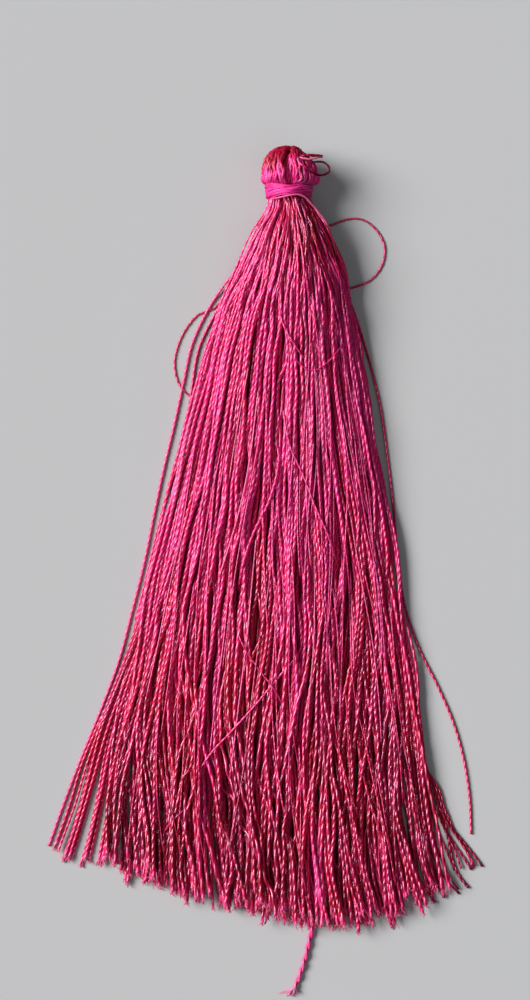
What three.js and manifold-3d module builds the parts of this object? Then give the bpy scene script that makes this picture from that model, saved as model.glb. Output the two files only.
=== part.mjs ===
// A thread tassel lying on a table. A hank of two-ply thread is folded over into a round head, bound at the
// neck, and its cut ends fan out as a skirt. Millimetres, +Z up, the head towards +Y, the table at Z = 0.
import * as THREE from "three";
import { mergeVertices } from "three/addons/utils/BufferGeometryUtils.js";
import Module from "manifold-3d";

const wasm = await Module();
wasm.setup();

// Driving dimensions
const skirtLength = 85; // from the middle of the neck binding to the lowest cut ends
const hemRise = { left: 8.3, right: 6.5 }; // how much shorter the skirt hangs at its two sides
const hemCurve = 2.5; // the higher, the flatter the hem's middle
const hemRaggedness = 1.1; // how far one cut end may stand off its neighbours
const shortestStretch = 2; // of a strand, between the last row above its cut end and that end
const pieceGap = 0.3; // between the thread bundle and what is tied round it
const strandGap = 0.08; // between the layers of strands
const strandFill = 0.74; // a strand's width as a share of the room between its neighbours
const strayWidth = 0.55; // a thread that lies by itself
const straySteps = 18; // straight stretches along one such thread
const ridgeCount = 40; // threads that show round the head and the shoulder
const ridgeHeight = 0.1;

// The bundle's fused part, from the top of the head to the end of the shoulder. y is the distance from the
// middle of the binding. left and right are its edges, low and high its underside and its top, and squareness
// the exponent of its rounded section. What would lie under the table is pressed flat on it.
const neckTop = { y: 1.0, left: -2.4, right: 2.3, low: 0.95, high: 5.0, squareness: 2.2 };
const neckBottom = { y: -1.0, left: -2.0, right: 1.75, low: 1.0, high: 4.95, squareness: 2.2 };
const bundleRows = [
  { y: 5.1, left: -1.1, right: 0.3, low: 2.4, high: 3.8, squareness: 2.0 },
  { y: 4.9, left: -2.0, right: 0.9, low: 1.3, high: 4.7, squareness: 2.0 },
  { y: 4.4, left: -2.7, right: 1.6, low: 0.6, high: 5.4, squareness: 2.1 },
  { y: 3.4, left: -3.3, right: 2.7, low: 0.0, high: 6.0, squareness: 2.2 },
  { y: 2.2, left: -3.45, right: 3.15, low: -0.2, high: 6.2, squareness: 2.3 },
  { y: 1.4, left: -3.35, right: 3.2, low: -0.1, high: 6.0, squareness: 2.3 },
  neckTop,
  neckBottom,
  { y: -1.5, left: -2.5, right: 2.4, low: 0.5, high: 5.25, squareness: 2.2 },
  { y: -3.6, left: -3.9, right: 3.7, low: -0.3, high: 5.6, squareness: 2.6 },
  { y: -7, left: -5.55, right: 5.25, low: -0.4, high: 5.55, squareness: 3.4 },
];
// The fold line of the hank shows as a furrow down the upper side of the head.
const furrow = { x: -0.3, width: 0.5, depth: 0.55, fromY: 5.2, toY: 1.2 };

// The skirt below the shoulder: how far below the binding, its two edges and its height off the table.
const skirtRows = [
  { below: 6.1, left: -5.2, right: 4.9, height: 5.6 },
  { below: 16, left: -9.2, right: 7.6, height: 5.2 },
  { below: 38, left: -14.9, right: 11.7, height: 4.1 },
  { below: 58, left: -20.7, right: 14.4, height: 3.3 },
  { below: 73, left: -27.2, right: 18.8, height: 2.7 },
  { below: 87, left: -33.2, right: 26.3, height: 2.3 },
];
// Layers of strands from the table up. shoulder and hem give the share of the skirt's width that a layer fills
// there. locks is how many loose locks its strands draw into.
const layers = [
  { strands: 48, shoulder: 0.86, hem: 0.97, locks: 7 },
  { strands: 56, shoulder: 0.96, hem: 1.0, locks: 8 },
  { strands: 54, shoulder: 0.95, hem: 0.96, locks: 9 },
  { strands: 48, shoulder: 0.82, hem: 0.9, locks: 8 },
];
const lockPull = 0.45; // how far the strands of a lock draw together at the hem, of what would make them meet

// One thread of the lowest layer was missed by the shears and runs on past the hem.
const longThread = [
  { x: 2.9, below: 84.5 },
  { x: 2.2, below: 87.5 },
  { x: 1.2, below: 91 },
  { x: 0.1, below: 94 },
];
// Threads that have sprung out of the skirt and lie on the table beside it, each from its root in the shoulder.
const strays = {
  rightLoop: [
    { x: 2.0, below: 3.9 },
    { x: 5.0, below: 3.4 },
    { x: 7.0, below: 2.8 },
    { x: 8.8, below: 2.9 },
    { x: 10.1, below: 4.0 },
    { x: 10.8, below: 5.9 },
    { x: 10.3, below: 8.2 },
    { x: 9.3, below: 10.0 },
    { x: 8.0, below: 11.0 },
  ],
  leftLoop: [
    { x: -3.0, below: 4.4 },
    { x: -5.8, below: 6.6 },
    { x: -7.9, below: 9.9 },
    { x: -9.8, below: 12.9 },
    { x: -11.6, below: 14.6 },
    { x: -13.0, below: 16.8 },
    { x: -13.7, below: 19.4 },
    { x: -13.3, below: 22.0 },
    { x: -12.0, below: 24.0 },
  ],
  rightEdge: [
    { x: 3.0, below: 4.6 },
    { x: 5.4, below: 7.2 },
    { x: 7.2, below: 12.2 },
    { x: 8.8, below: 18 },
    { x: 10.4, below: 24.5 },
    { x: 11.5, below: 33 },
    { x: 12.6, below: 42 },
    { x: 13.9, below: 50 },
    { x: 17.0, below: 57 },
    { x: 19.8, below: 64 },
    { x: 21.0, below: 70 },
    { x: 21.3, below: 75.3 },
  ],
};

// The binding wound round the neck: turns of thread side by side. Its lower edge arches up at the front, and
// ease is what it stands off the neck besides the gap, since the neck's section isn't quite round.
const binding = { top: 0.8, bottom: -0.95, arch: 0.35, ease: 0.13, thickness: 0.4, turns: 4, turnDepth: 0.1 };
const bindingSteps = 48;

// The small loop of thread at the top of the head, to hang or tie the tassel by.
const loopThread = 0.46;
const loopSides = 8;
const loopSteps = 40;
const loopRoute = [
  { x: 1.25, y: 4.4, z: 5.7 },
  { x: 1.95, y: 4.55, z: 5.25 },
  { x: 2.8, y: 4.55, z: 4.8 },
  { x: 3.55, y: 4.3, z: 4.45 },
  { x: 4.15, y: 3.6, z: 4.2 },
  { x: 4.3, y: 2.8, z: 4.2 },
  { x: 3.95, y: 2.15, z: 4.45 },
  { x: 3.35, y: 1.95, z: 5.1 },
  { x: 2.55, y: 2.35, z: 6.0 },
  { x: 1.6, y: 2.9, z: 6.5 },
];

const threadColour = 0xc01a5b;
const bindingColour = 0xd23a86;

// Repeatable random numbers from 0 to 1
let seed = 7;
function random() {
  seed = (seed + 0x6d2b79f5) | 0;
  let mixed = Math.imul(seed ^ (seed >>> 15), 1 | seed);
  mixed = (mixed + Math.imul(mixed ^ (mixed >>> 7), 61 | mixed)) ^ mixed;
  return ((mixed ^ (mixed >>> 14)) >>> 0) / 4294967296;
}

// Moves every point of a geometry to where place() puts it, and keeps the positions alone, with points that
// meet merged, so that the surface is closed.
function mould(geometry, place) {
  const points = geometry.getAttribute("position");
  const point = new THREE.Vector3();
  for (let i = 0; i < points.count; i++) {
    const moved = place(point.fromBufferAttribute(points, i));
    points.setXYZ(i, moved.x, moved.y, moved.z);
  }
  geometry.deleteAttribute("normal");
  geometry.deleteAttribute("uv");
  return mergeVertices(geometry, 1e-4);
}

function solidOf(geometry) {
  return new wasm.Manifold(
    new wasm.Mesh({
      numProp: 3,
      vertProperties: new Float32Array(geometry.getAttribute("position").array),
      triVerts: new Uint32Array(geometry.index.array),
    }),
  );
}

function geometryOf(solid) {
  const mesh = solid.getMesh();
  return new THREE.BufferGeometry()
    .setAttribute("position", new THREE.BufferAttribute(mesh.vertProperties, 3))
    .setIndex(new THREE.BufferAttribute(mesh.triVerts, 1));
}

// A point of the rounded section of a row, in the direction (acrossX, acrossZ).
function sectionPoint(row, acrossX, acrossZ, outBy) {
  const power = 2 / row.squareness;
  const stretch = (value) => Math.sign(value) * Math.abs(value) ** power;
  const halfWidth = (row.right - row.left) / 2 + outBy;
  const halfHeight = (row.high - row.low) / 2 + outBy;
  return {
    x: (row.left + row.right) / 2 + halfWidth * stretch(acrossX),
    z: (row.low + row.high) / 2 + halfHeight * stretch(acrossZ),
  };
}

// Head, neck and shoulder: a ridged drum, moulded row by row.
function makeBundleBody() {
  const sides = 2 * ridgeCount;
  const drum = new THREE.CylinderGeometry(1, 1, 1, sides, bundleRows.length - 1);
  return mould(drum, (point) => {
    const row = bundleRows[Math.round((0.5 - point.y) * (bundleRows.length - 1))];
    const radius = Math.hypot(point.x, point.z);
    if (radius < 0.5) {
      return point.set((row.left + row.right) / 2, row.y, Math.max(0, (row.low + row.high) / 2));
    }
    const side = Math.round((Math.atan2(point.x, point.z) / (2 * Math.PI)) * sides);
    const ridge = side % 2 === 0 ? ridgeHeight : -ridgeHeight;
    const place = sectionPoint(row, point.x, point.z, ridge);
    const onHead = row.y < furrow.fromY && row.y > furrow.toY && point.z > 0;
    if (onHead) {
      place.z -= furrow.depth * Math.exp(-(((place.x - furrow.x) / furrow.width) ** 2));
    }
    return point.set(place.x, row.y, Math.max(0, place.z));
  });
}

// A three-sided strand: flat below, with its ridge on top. rows gives at each step its middle x, its y, the
// height of its base, its width and how thick it is, and turned lays each section across the strand's own run.
function makeStrand(rows, turned) {
  const corner = Math.sin((2 * Math.PI) / 3);
  const stick = new THREE.CylinderGeometry(1, 1, 1, 3, rows.length - 1);
  return mould(stick, (point) => {
    const step = Math.round((0.5 - point.y) * (rows.length - 1));
    const row = rows[step];
    const before = rows[Math.max(0, step - 1)];
    const after = rows[Math.min(rows.length - 1, step + 1)];
    const run = Math.hypot(after.x - before.x, after.y - before.y);
    const sideX = turned ? (before.y - after.y) / run : 1;
    const sideY = turned ? (after.x - before.x) / run : 0;
    const across = (point.x / corner) * (row.width / 2);
    const lift = ((point.z + 0.5) / 1.5) * row.thick;
    return point.set(row.x + sideX * across, row.y + sideY * across, row.base + lift);
  });
}

// Where the strands of a layer stand across the skirt, from -1 to 1, drawn into locks towards the hem.
function strandPlaces(layer, progress) {
  const places = [];
  for (let i = 0; i < layer.strands; i++) {
    const even = (2 * (i + 0.5)) / layer.strands - 1;
    const wave = Math.PI * layer.locks;
    places.push(even + (lockPull * progress * Math.sin(wave * even + layer.locks)) / wave);
  }
  return places;
}

// One row of the skirt for every strand of a layer: its middle, width, base and thickness.
function layerRow(layer, level, row) {
  const first = skirtRows[0].below;
  const progress = (row.below - first) / (skirtLength - first);
  const middle = (row.left + row.right) / 2;
  const share = THREE.MathUtils.lerp(layer.shoulder, layer.hem, progress);
  const half = (share * (row.right - row.left)) / 2;
  const places = strandPlaces(layer, progress).map((place) => middle + half * place);
  const slab = row.height / layers.length;
  return places.map((x, i) => {
    const room = Math.min(
      i > 0 ? x - places[i - 1] : Infinity,
      i < places.length - 1 ? places[i + 1] - x : Infinity,
    );
    const base = level === 0 ? 0 : level * slab + strandGap;
    return { x, y: -row.below, base, width: strandFill * room, thick: slab * (level + 1) - base };
  });
}

// How far below the binding the skirt is cut, at a place across it from -1 to 1.
function hemAt(place) {
  const rise = place < 0 ? hemRise.left : hemRise.right;
  return skirtLength - rise * Math.abs(place) ** hemCurve;
}

// Every strand of one layer as a list of rows, each cut off at its own length.
function layerStrands(layer, level) {
  const rows = skirtRows.map((row) => layerRow(layer, level, row));
  return rows[0].map((_, i) => {
    const place = (2 * (i + 0.5)) / layer.strands - 1;
    const end = hemAt(place) - hemRaggedness * random();
    const kept = skirtRows.map((row) => row.below).filter((below) => below < end - shortestStretch);
    const lowest = skirtRows[kept.length].below;
    const start = skirtRows[kept.length - 1].below;
    const share = (end - start) / (lowest - start);
    const strand = kept.map((_, k) => rows[k][i]);
    const from = rows[kept.length - 1][i];
    const to = rows[kept.length][i];
    const cut = {};
    for (const name of Object.keys(from)) cut[name] = THREE.MathUtils.lerp(from[name], to[name], share);
    return [...strand, cut];
  });
}

// The strand that lies nearest to the long thread is lengthened along its route.
function lengthenOne(strands) {
  const ends = strands.map((strand) => strand.at(-1));
  const nearest = ends.reduce((best, end, i) => {
    return Math.abs(end.x - longThread[0].x) < Math.abs(ends[best].x - longThread[0].x) ? i : best;
  }, 0);
  const last = strands[nearest].pop();
  for (const { x, below } of longThread) strands[nearest].push({ ...last, x, y: -below });
}

// A stray thread on its smooth route over the table.
function strayRows(route) {
  const curve = new THREE.CatmullRomCurve3(route.map(({ x, below }) => new THREE.Vector3(x, -below, 0)));
  return curve.getSpacedPoints(straySteps).map(({ x, y }) => {
    return { x, y, base: 0, width: strayWidth, thick: strayWidth };
  });
}

function makeThreadBundle() {
  const strands = layers.map(layerStrands);
  lengthenOne(strands[0]);
  let bundle = solidOf(makeBundleBody());
  for (const rows of strands.flat()) bundle = bundle.add(solidOf(makeStrand(rows, false)));
  for (const route of Object.values(strays)) bundle = bundle.add(solidOf(makeStrand(strayRows(route), true)));
  return geometryOf(bundle);
}

// The neck's section at a height between its two rows.
function neckAt(y) {
  const share = (y - neckTop.y) / (neckBottom.y - neckTop.y);
  const row = {};
  for (const name of Object.keys(neckTop)) {
    row[name] = THREE.MathUtils.lerp(neckTop[name], neckBottom[name], share);
  }
  return row;
}

// A ring that hugs the neck. Its outside is ribbed by the turns, its inside is plain.
function makeNeckBinding() {
  const ribSteps = 2 * binding.turns;
  const corners = ribSteps + 3;
  const inner = ridgeHeight + pieceGap + binding.ease;
  const ring = new THREE.TorusGeometry(1, 0.5, corners, bindingSteps);
  const turnOf = (angle, count) => (Math.round((angle / (2 * Math.PI)) * count) + count) % count;
  return mould(ring, (point) => {
    const around = (2 * Math.PI * turnOf(Math.atan2(point.y, point.x), bindingSteps)) / bindingSteps;
    const corner = turnOf(Math.atan2(point.z, Math.hypot(point.x, point.y) - 1), corners);
    const outside = corner <= ribSteps;
    const rise = outside ? corner / ribSteps : corners - 1 - corner;
    const front = Math.max(0, -Math.sin(around));
    const y = THREE.MathUtils.lerp(binding.bottom + binding.arch * front, binding.top, rise);
    const groove = corner % 2 === 0 ? binding.turnDepth : 0;
    const outBy = outside ? inner + binding.thickness - groove : inner;
    const place = sectionPoint(neckAt(y), Math.cos(around), -Math.sin(around), outBy);
    return point.set(place.x, y, place.z);
  });
}

function makeHangingLoop() {
  const route = new THREE.CatmullRomCurve3(loopRoute.map(({ x, y, z }) => new THREE.Vector3(x, y, z)));
  const section = new THREE.Shape().absarc(0, 0, loopThread / 2, 0, 2 * Math.PI);
  const settings = { steps: loopSteps, curveSegments: loopSides / 2, bevelEnabled: false, extrudePath: route };
  return mould(new THREE.ExtrudeGeometry(section, settings), (point) => point);
}

function addPiece(group, name, geometry, colour) {
  const material = new THREE.MeshStandardMaterial({ color: colour, roughness: 0.45, metalness: 0 });
  const mesh = new THREE.Mesh(geometry, material);
  mesh.name = name;
  group.add(mesh);
}

const tassel = new THREE.Group();
addPiece(tassel, "thread_bundle", makeThreadBundle(), threadColour);
addPiece(tassel, "neck_binding", makeNeckBinding(), bindingColour);
addPiece(tassel, "hanging_loop", makeHangingLoop(), threadColour);

// The origin is on the table, under the middle of the whole tassel.
const reach = new THREE.Box3().setFromObject(tassel);
const middle = reach.getCenter(new THREE.Vector3());
tassel.position.set(-middle.x, -middle.y, 0);

export default tassel;
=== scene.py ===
import math
import bpy
import numpy as np
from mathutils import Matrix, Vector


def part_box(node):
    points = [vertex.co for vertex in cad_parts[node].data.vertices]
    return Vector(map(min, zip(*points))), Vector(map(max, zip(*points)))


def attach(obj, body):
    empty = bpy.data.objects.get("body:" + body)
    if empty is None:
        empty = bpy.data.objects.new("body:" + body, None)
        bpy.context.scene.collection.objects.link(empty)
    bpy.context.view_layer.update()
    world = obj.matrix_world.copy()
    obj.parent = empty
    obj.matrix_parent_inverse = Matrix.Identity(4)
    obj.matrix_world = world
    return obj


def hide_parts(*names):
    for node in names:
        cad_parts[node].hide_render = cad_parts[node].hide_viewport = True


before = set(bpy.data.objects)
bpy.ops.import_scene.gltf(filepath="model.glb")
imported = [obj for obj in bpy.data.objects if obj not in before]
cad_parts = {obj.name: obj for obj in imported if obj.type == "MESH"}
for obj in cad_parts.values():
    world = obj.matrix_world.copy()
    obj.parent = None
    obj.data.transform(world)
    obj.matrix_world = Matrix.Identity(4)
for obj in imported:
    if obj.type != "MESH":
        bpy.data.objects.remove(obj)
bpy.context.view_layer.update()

print("frame loaded:", sorted(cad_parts))

mm = 0.001
rng = np.random.default_rng(11)
anyPhase = 6.3  # waves and twists start anywhere from 0 to this angle

# everything below is worked out in millimetres from the middle of the neck binding: x to the right,
# y towards the head ("below" is the distance towards the hem), z up from the table
bindingTop = 0.8  # upper edge of the solid binding, as y
bindingOffset = 0.06  # the middle of that solid lies this far to the left of x = 0
bindingLow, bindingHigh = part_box("neck_binding")
neckX = (bindingLow.x + bindingHigh.x) / 2 / mm + bindingOffset
neckY = bindingHigh.y / mm - bindingTop


def toFrame(points):
    return (np.asarray(points, float) + np.array([neckX, neckY, 0.0])) * mm


def curveThrough(knots, values, at):
    # smooth curve through given values, with each knot's slope taken from its neighbours
    knots, values, at = np.asarray(knots, float), np.asarray(values, float), np.asarray(at, float)
    slopes = np.gradient(values, knots, axis=0)
    first = np.clip(np.searchsorted(knots, at) - 1, 0, len(knots) - 2)
    span = knots[first + 1] - knots[first]
    t = (at - knots[first]) / span
    shape = (len(at),) + (1,) * (values.ndim - 1)
    t, span = t.reshape(shape), span.reshape(shape)
    return ((2 * t ** 3 - 3 * t ** 2 + 1) * values[first] + (t ** 3 - 2 * t ** 2 + t) * span * slopes[first]
            + (3 * t ** 2 - 2 * t ** 3) * values[first + 1] + (t ** 3 - t ** 2) * span * slopes[first + 1])


def arcLength(points):
    # how far along the line each of its points lies
    return np.concatenate([[0], np.cumsum(np.linalg.norm(np.diff(points, axis=0), axis=1))])


finerSteps = 20  # steps of a smooth route for each given point
fewestPoints = 4


def smoothRoute(points, spacing):
    # evenly spaced points along a smooth curve through a few given ones
    points = np.asarray(points, float)
    reach = arcLength(points)
    dense = curveThrough(reach, points, np.linspace(0, reach[-1], finerSteps * len(points)))
    arc = arcLength(dense)
    count = max(fewestPoints, int(round(arc[-1] / spacing)) + 1)
    even = np.linspace(0, arc[-1], count)
    return np.stack([np.interp(even, arc, dense[:, axis]) for axis in range(3)], axis=1)


def ease(value, low, high):
    t = np.clip((value - low) / (high - low), 0, 1)
    return t * t * (3 - 2 * t)


def randomWave(along, slowest, fastest):
    # a wave along a thread, with a random start and pace
    start = rng.uniform(0, anyPhase)
    return np.sin(start + along * rng.uniform(slowest, fastest))


def windRound(angle, wide, lean):
    # sideways shifts that wind a filament round its bundle
    return wide * np.stack([np.cos(angle), lean * np.cos(angle), np.sin(angle)], axis=1)


# sections of a strand as angle and radius: two plies side by side, or a plain round filament
sections = {
    "twoPly": {"angle": [38, 90, 142, 218, 270, 322], "radius": [1, 0.55, 1, 1, 0.55, 1],
               "crease": [1, 4], "grooved": 1.0},
    "round": {"angle": [0, 72, 144, 216, 288], "radius": [1, 1, 1, 1, 1], "crease": [], "grooved": 0.1},
    "hair": {"angle": [0, 120, 240], "radius": [1, 1, 1], "crease": [], "grooved": 0.1},
}
mostSpin = 1.0  # a strand turns no further than this from one ring to the next


def sweep(path, radius, section, turn=None, phase=0.0, across=(0, 0, 1), *, tint):
    # one strand along a path; turn is the length of one full twist, across a direction never along the path
    section = sections[section]
    path = np.array(path, float)
    path[:, 2] = np.maximum(path[:, 2], radius)
    run = np.gradient(path, axis=0)
    run /= np.linalg.norm(run, axis=1, keepdims=True)
    side = np.cross(run, np.asarray(across, float))
    side /= np.linalg.norm(side, axis=1, keepdims=True)
    lift = np.cross(side, run)
    arc = arcLength(path)
    angles = np.radians(section["angle"])
    spin = np.full(len(arc), float(phase))
    if turn is not None:
        eachTurn = np.broadcast_to(np.asarray(turn, float), arc.shape)[1:]
        spin[1:] -= np.cumsum(np.minimum(2 * math.pi * np.diff(arc) / eachTurn, mostSpin))
    around = spin[:, None] + angles[None, :]
    girth = np.broadcast_to(np.asarray(radius, float), (len(path),))
    out = girth[:, None] * np.array(section["radius"])
    points = (path[:, None, :] + (out * np.cos(around))[..., None] * side[:, None, :]
              + (out * np.sin(around))[..., None] * lift[:, None, :])
    return {"points": points, "arc": arc, "around": angles / (2 * math.pi), "tint": tint,
            "crease": section["crease"], "grooved": section["grooved"]}


# the share of its strip in the bake map that a strand fills, across and along
bakeStrip = {"edge": 0.08, "wide": 0.84, "bottom": 0.004, "high": 0.992}


def buildPiece(name, strands, material):
    # joins strands into one mesh, with a map along each thread and a map of strips that don't overlap
    parts = {key: [] for key in ("places", "starts", "corners", "thread", "bake", "tints", "creases")}
    longest = max(strand["arc"][-1] for strand in strands)
    points, loops = 0, 0
    for index, strand in enumerate(strands):
        rings, sides = strand["points"].shape[:2]
        around = strand["around"]
        ids = points + np.arange(rings * sides).reshape(rings, sides)
        nextIds = np.roll(ids, -1, axis=1)
        quads = np.stack([ids[:-1], nextIds[:-1], nextIds[1:], ids[1:]], axis=-1).reshape(-1, 4)
        u = np.broadcast_to(around, (rings, sides))
        uNext = np.broadcast_to(np.append(around[1:], around[0] + 1), (rings, sides))
        v = np.broadcast_to(strand["arc"][:, None], (rings, sides))
        uv = np.stack([np.stack([u[:-1], v[:-1]], -1), np.stack([uNext[:-1], v[:-1]], -1),
                       np.stack([uNext[1:], v[1:]], -1), np.stack([u[1:], v[1:]], -1)], axis=2)
        uvCaps = [np.stack([u[0][::-1], v[0]], -1), np.stack([u[-1], v[-1]], -1)]
        uvAll = np.concatenate([uv.reshape(-1, 2), *uvCaps])
        stripAcross = index + bakeStrip["edge"] + bakeStrip["wide"] * (uvAll[:, 0] - around[0])
        stripAlong = bakeStrip["bottom"] + bakeStrip["high"] * uvAll[:, 1] / longest
        sizes = np.concatenate([np.full(len(quads), 4), [sides, sides]])
        parts["places"].append(strand["points"].reshape(-1, 3))
        parts["starts"].append(loops + np.concatenate([[0], np.cumsum(sizes)[:-1]]))
        parts["corners"].append(np.concatenate([quads.ravel(), ids[0][::-1], ids[-1]]))
        parts["thread"].append(uvAll * np.array([strand["grooved"], 1.0]))
        parts["bake"].append(np.stack([stripAcross / len(strands), stripAlong], -1))
        parts["tints"].append(np.repeat(np.broadcast_to(strand["tint"], (rings,)), sides))
        parts["creases"].append(np.tile(np.isin(np.arange(sides), strand["crease"]), rings))
        points += rings * sides
        loops += sizes.sum()
    joined = {key: np.concatenate(values) for key, values in parts.items()}
    mesh = bpy.data.meshes.new(name)
    mesh.vertices.add(points)
    mesh.loops.add(loops)
    mesh.polygons.add(len(joined["starts"]))
    mesh.vertices.foreach_set("co", toFrame(joined["places"]).astype(np.float32).ravel())
    mesh.loops.foreach_set("vertex_index", joined["corners"].astype(np.int32))
    mesh.polygons.foreach_set("loop_start", joined["starts"].astype(np.int32))
    mesh.polygons.foreach_set("use_smooth", np.ones(len(joined["starts"]), bool))
    for mapName, key in (("Thread", "thread"), ("OFBake", "bake")):
        uvMap = mesh.uv_layers.new(name=mapName)
        uvMap.data.foreach_set("uv", joined[key].astype(np.float32).ravel())
    tints = mesh.attributes.new("tint", "FLOAT", "POINT")
    tints.data.foreach_set("value", joined["tints"].astype(np.float32))
    mesh.update(calc_edges=True)
    edgeEnds = np.empty(2 * len(mesh.edges), np.int32)
    mesh.edges.foreach_get("vertices", edgeEnds)
    mesh.edges.foreach_set("use_edge_sharp", joined["creases"][edgeEnds.reshape(-1, 2)].all(axis=1))
    mesh.validate()
    mesh.materials.append(material)
    piece = bpy.data.objects.new(name, mesh)
    bpy.context.collection.objects.link(piece)
    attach(piece, "root")
    print(name, "strands", len(strands), "triangles", sum(len(p.vertices) - 2 for p in mesh.polygons))
    return piece


# materials

def addNode(tree, kind, **settings):
    node = tree.nodes.new(kind)
    for key, value in settings.items():
        setattr(node, key, value)
    return node


def plug(tree, socket, value):
    # a number or a colour is set on the socket itself, anything else is linked to it
    if isinstance(value, tuple):
        socket.default_value = (*value, 1.0)
    elif isinstance(value, (int, float)):
        socket.default_value = value
    else:
        tree.links.new(value, socket)


def mathNode(tree, operation, *values):
    node = addNode(tree, "ShaderNodeMath", operation=operation)
    for socket, value in zip(node.inputs, values):
        plug(tree, socket, value)
    return node.outputs[0]


def mixColour(tree, factor, first, second, blend="MIX"):
    node = addNode(tree, "ShaderNodeMix", data_type="RGBA", blend_type=blend)
    for socket, value in ((node.inputs[0], factor), (node.inputs[6], first), (node.inputs[7], second)):
        plug(tree, socket, value)
    return node.outputs[2]


def rangeNode(tree, value, given, wanted, **settings):
    # maps a value from the given range to the wanted one
    node = addNode(tree, "ShaderNodeMapRange", **settings)
    for socket, setting in zip(node.inputs, (value, *given, *wanted)):
        plug(tree, socket, setting)
    return node.outputs[0]


def noiseNode(tree, place, scale, detail):
    node = addNode(tree, "ShaderNodeTexNoise")
    plug(tree, node.inputs["Vector"], place)
    plug(tree, node.inputs["Scale"], scale)
    plug(tree, node.inputs["Detail"], detail)
    return node.outputs["Fac"]


plyInputs = {"Fibre Count": 24.0, "Fibre Length": 1.4, "Groove Width": 0.5}
plyNoise = {"fibreScale": 1.0, "fibreDetail": 2.0, "fibreChange": 40.0,
            "driftScale": 160.0, "driftDetail": 3.0}


def makePlyGroup():
    # how the surface of a twisted thread changes: painted shade in the groove between its plies, its fibres
    # and slow changes
    group = bpy.data.node_groups.new("plyFibres", "ShaderNodeTree")
    for name, default in plyInputs.items():
        socket = group.interface.new_socket(name, in_out="INPUT", socket_type="NodeSocketFloat")
        socket.default_value = default
    for name in ("Groove", "Fibre", "Drift", "Tint"):
        group.interface.new_socket(name, in_out="OUTPUT", socket_type="NodeSocketFloat")
    given = addNode(group, "NodeGroupInput")
    result = addNode(group, "NodeGroupOutput")
    place = addNode(group, "ShaderNodeUVMap", uv_map="Thread")
    split = addNode(group, "ShaderNodeSeparateXYZ")
    group.links.new(place.outputs[0], split.inputs[0])
    around, along = split.outputs[0], split.outputs[1]
    wave = mathNode(group, "COSINE", mathNode(group, "MULTIPLY", around, 2 * math.pi))
    lobe = mathNode(group, "ABSOLUTE", wave)
    grooveEdge = given.outputs["Groove Width"]
    # painted shade: a mask of the groove between the plies, where the colour is darkened
    groove = rangeNode(group, lobe, (0.0, grooveEdge), (1.0, 0.0), interpolation_type="SMOOTHSTEP")
    tint = addNode(group, "ShaderNodeAttribute", attribute_name="tint").outputs["Fac"]
    fibrePlace = addNode(group, "ShaderNodeCombineXYZ")
    plug(group, fibrePlace.inputs[0], mathNode(group, "MULTIPLY", around, given.outputs["Fibre Count"]))
    plug(group, fibrePlace.inputs[1], mathNode(group, "DIVIDE", along, given.outputs["Fibre Length"]))
    plug(group, fibrePlace.inputs[2], mathNode(group, "MULTIPLY", tint, plyNoise["fibreChange"]))
    fibre = noiseNode(group, fibrePlace.outputs[0], plyNoise["fibreScale"], plyNoise["fibreDetail"])
    where = addNode(group, "ShaderNodeTexCoord")
    drift = noiseNode(group, where.outputs["Object"], plyNoise["driftScale"], plyNoise["driftDetail"])
    for name, value in (("Groove", groove), ("Fibre", fibre), ("Drift", drift), ("Tint", tint)):
        group.links.new(value, result.inputs[name])
    return group


plyGroup = makePlyGroup()


def makeThreadMaterial(name, look):
    # tint runs from dark at -1 over deep at 0 and bright at 1 to pale at 2
    material = bpy.data.materials.new(name)
    material.use_nodes = True
    tree = material.node_tree
    shader = tree.nodes["Principled BSDF"]
    ply = addNode(tree, "ShaderNodeGroup", node_tree=plyGroup)
    for key in plyInputs:
        ply.inputs[key].default_value = look[key]
    tint, fibre = ply.outputs["Tint"], ply.outputs["Fibre"]
    body = mixColour(tree, tint, look["deep"], look["bright"])
    body = mixColour(tree, mathNode(tree, "SUBTRACT", tint, 1.0), body, look["pale"])
    body = mixColour(tree, mathNode(tree, "MULTIPLY", tint, -1.0), body, look["dark"])
    drift = rangeNode(tree, ply.outputs["Drift"], look["driftRange"], (0.0, look["driftShare"]))
    body = mixColour(tree, drift, body, look["worn"])
    shade = rangeNode(tree, fibre, look["fibreRange"], (1.0 - look["fibreShade"], 1.0))
    body = mixColour(tree, 1.0, body, shade, "MULTIPLY")
    # painted shade: the colour darkens in the groove between the plies
    groove = mathNode(tree, "MULTIPLY", ply.outputs["Groove"], look["grooveShade"])
    tree.links.new(mixColour(tree, groove, body, look["groove"]), shader.inputs["Base Color"])
    rough = mathNode(tree, "MULTIPLY_ADD", fibre, look["roughSpread"], look["rough"])
    rough = mathNode(tree, "MULTIPLY_ADD", tint, look["roughWhenPale"], rough)
    tree.links.new(rough, shader.inputs["Roughness"])
    bump = addNode(tree, "ShaderNodeBump")
    bump.inputs["Strength"].default_value = look["bump"]
    bump.inputs["Distance"].default_value = look["bumpDepth"]
    tree.links.new(fibre, bump.inputs["Height"])
    tree.links.new(bump.outputs[0], shader.inputs["Normal"])
    shader.inputs["Subsurface Weight"].default_value = look["glow"]
    shader.inputs["Subsurface Radius"].default_value = look["glowReach"]
    shader.inputs["Subsurface Scale"].default_value = look["glowScale"]
    shader.inputs["Specular IOR Level"].default_value = look["gloss"]
    shader.inputs["IOR"].default_value = look["refraction"]
    shader.inputs["Specular Tint"].default_value = (*look["glossTint"], 1.0)
    return material


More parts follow.
